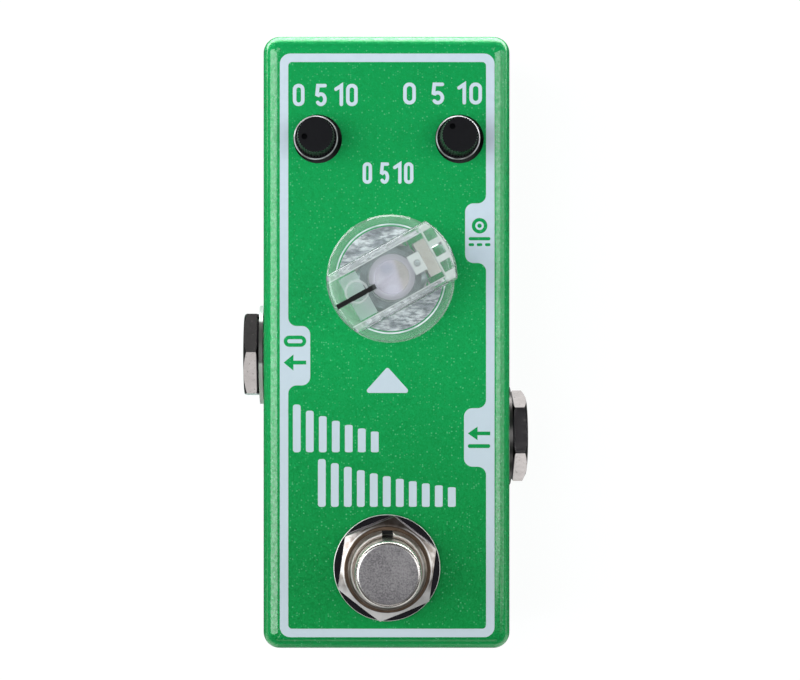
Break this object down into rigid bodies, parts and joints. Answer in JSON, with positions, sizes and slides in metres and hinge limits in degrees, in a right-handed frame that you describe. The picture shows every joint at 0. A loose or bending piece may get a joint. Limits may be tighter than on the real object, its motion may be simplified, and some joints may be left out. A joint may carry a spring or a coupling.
{
  "type": "guitar effects pedal",
  "caption": "Mini delay effects pedal: die-cast case with print on its face, clear pointer knob, black knobs, footswitch, side jacks and DC inlet.",
  "frame": {"origin": "under the middle of the case, on the plane that the rubber feet stand on", "axes": "+Z out of the face with the controls, +Y towards the end with the two small knobs, +X towards the input jack's side"},
  "size_m": [0.045, 0.0956, 0.045],
  "materials": {
    "green_paint": "gloss metallic green paint on the die casting",
    "plate_black": "black powder coat on aluminium",
    "steel": "plain",
    "rubber": "matte",
    "board": "solder mask",
    "black_plastic": "moulded",
    "switch_plastic": "moulded",
    "pot_metal": "die cast and stamped",
    "nickel": "bright nickel plate",
    "chrome": "polished",
    "brushed": "fine brushed top",
    "brass": "plain",
    "light_lens": "water clear",
    "clear": "clear moulding",
    "pointer_black": "filled line",
    "knob_black": "satin"
  },
  "bodies": {
    "case": {"base_plate": "plate_black", "base_screws": "steel", "capacitors": "black_plastic", "case_shell": "green_paint", "connector_header": "black_plastic", "connector_socket": "black_plastic", "control_board": "board", "delay_chip": "black_plastic", "footswitch_bushing": "nickel", "footswitch_housing": "switch_plastic", "footswitch_inner_nut": "nickel", "footswitch_lock_washer": "steel", "footswitch_nut": "nickel", "footswitch_spring": "steel", "footswitch_terminals": "brass", "footswitch_washer": "chrome", "input_jack_body": "black_plastic", "input_jack_bushing": "nickel", "input_jack_nut": "nickel", "input_jack_pins": "steel", "input_jack_washer": "nickel", "level_pot_body": "pot_metal", "main_board": "board", "output_jack_body": "black_plastic", "output_jack_bushing": "nickel", "output_jack_nut": "nickel", "output_jack_pins": "steel", "output_jack_washer": "nickel", "power_inlet_body": "black_plastic", "power_inlet_pin": "nickel", "power_inlet_tabs": "steel", "repeat_pot_body": "pot_metal", "rubber_feet": "rubber", "small_chips": "black_plastic", "status_light": "light_lens", "status_light_legs": "steel", "time_pot_body": "pot_metal", "time_pot_nut": "nickel", "time_pot_washer": "nickel"},
    "time_dial": {"time_knob": "clear", "time_knob_pointer": "pointer_black", "time_knob_insert": "brass", "time_knob_screw": "steel", "time_pot_shaft": "pot_metal"},
    "level_dial": {"level_knob": "knob_black", "level_pot_shaft": "black_plastic"},
    "repeat_dial": {"repeat_knob": "knob_black", "repeat_pot_shaft": "black_plastic"},
    "footswitch_plunger": {"footswitch_button": "brushed"}
  },
  "joints": [
    {"name": "time_turn", "type": "hinge", "parent": "case", "child": "time_dial", "pos_m": [0.0005, 0.0097, 0.0326], "axis": [0, 0, 1], "range_deg": [-259, 21]},
    {"name": "level_turn", "type": "hinge", "parent": "case", "child": "level_dial", "pos_m": [-0.01091, 0.0314, 0.0326], "axis": [0, 0, 1], "range_deg": [-239.5, 40.5]},
    {"name": "repeat_turn", "type": "hinge", "parent": "case", "child": "repeat_dial", "pos_m": [0.01091, 0.0314, 0.0326], "axis": [0, 0, 1], "range_deg": [-181, 99]},
    {"name": "footswitch_press", "type": "slide", "parent": "case", "child": "footswitch_plunger", "axis": [0, 0, -1], "range_m": [0, 0.002], "stiffness_N_per_m": 1500, "springref_m": -0.001, "deforming": ["footswitch_spring"]}
  ]
}
